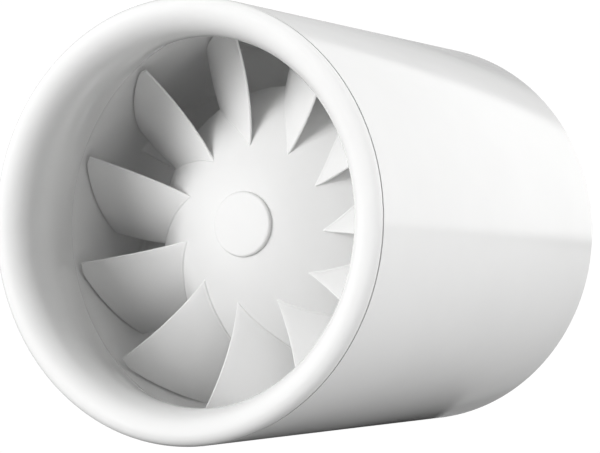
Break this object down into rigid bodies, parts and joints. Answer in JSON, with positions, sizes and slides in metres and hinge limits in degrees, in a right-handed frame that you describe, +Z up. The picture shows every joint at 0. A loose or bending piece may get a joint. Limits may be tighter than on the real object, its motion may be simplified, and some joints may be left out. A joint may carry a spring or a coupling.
{
  "type": "inline duct fan",
  "caption": "Smooth white tubular inline extractor fan that joins two round ducts; a bladed impeller behind a rounded intake lip drives air past guide vanes and a hidden motor.",
  "frame": {"origin": "middle of the casing tube, on the fan axis, halfway between the intake lip and the outlet edge", "axes": "Y runs along the fan axis, intake facing -Y and outlet facing +Y; +Z up; X across"},
  "size_m": [0.1007, 0.1224, 0.099],
  "materials": {
    "casing_white": "gloss",
    "impeller_white": "gloss",
    "nacelle_white": "satin gloss",
    "rubber": "matt",
    "steel": "zinc plated",
    "lamination": "oiled steel laminations",
    "copper": "varnished copper",
    "die_cast": "as cast",
    "bronze": "sintered bronze",
    "felt": "oiled felt",
    "nylon": "satin",
    "brass": "machined",
    "lead_brown": "satin sleeve",
    "lead_blue": "satin sleeve"
  },
  "bodies": {
    "housing": {"casing_tube": "casing_white", "intake_ring": "casing_white", "retaining_ring": "nacelle_white", "guide_vane_unit": "nacelle_white", "tail_cone": "nacelle_white", "front_bush": "bronze", "rear_bush": "bronze", "front_felt_ring": "felt", "rear_felt_ring": "felt", "motor_front_shield": "die_cast", "motor_rear_shield": "die_cast", "stator_core": "lamination", "terminal_block": "nylon", "cable_gland": "rubber", "thermal_cutout": "nylon", "lead_live": "lead_brown", "lead_neutral": "lead_blue", "coil_1": "copper", "shading_ring_1": "copper", "motor_bolt_1": "steel", "coil_2": "copper", "shading_ring_2": "copper", "motor_bolt_2": "steel", "coil_3": "copper", "shading_ring_3": "copper", "motor_bolt_3": "steel", "coil_4": "copper", "shading_ring_4": "copper", "motor_bolt_4": "steel", "tail_screw_1": "steel", "rubber_mount_1": "rubber", "mount_screw_1": "steel", "terminal_screw_1": "brass", "tail_screw_2": "steel", "rubber_mount_2": "rubber", "mount_screw_2": "steel", "terminal_screw_2": "brass", "tail_screw_3": "steel", "rubber_mount_3": "rubber", "mount_screw_3": "steel", "terminal_screw_3": "brass"},
    "rotor": {"motor_shaft": "steel", "impeller": "impeller_white", "nose_cap": "impeller_white", "impeller_nut": "steel", "impeller_washer": "steel", "rotor_core": "lamination", "rotor_ring_front": "die_cast", "rotor_ring_rear": "die_cast", "front_thrust_washer": "nylon", "rear_thrust_washer": "nylon"}
  },
  "joints": [
    {"name": "impeller_spin", "type": "hinge", "parent": "housing", "child": "rotor", "pos_m": [0, 0, 0], "axis": [0, 1, 0], "continuous": true}
  ]
}
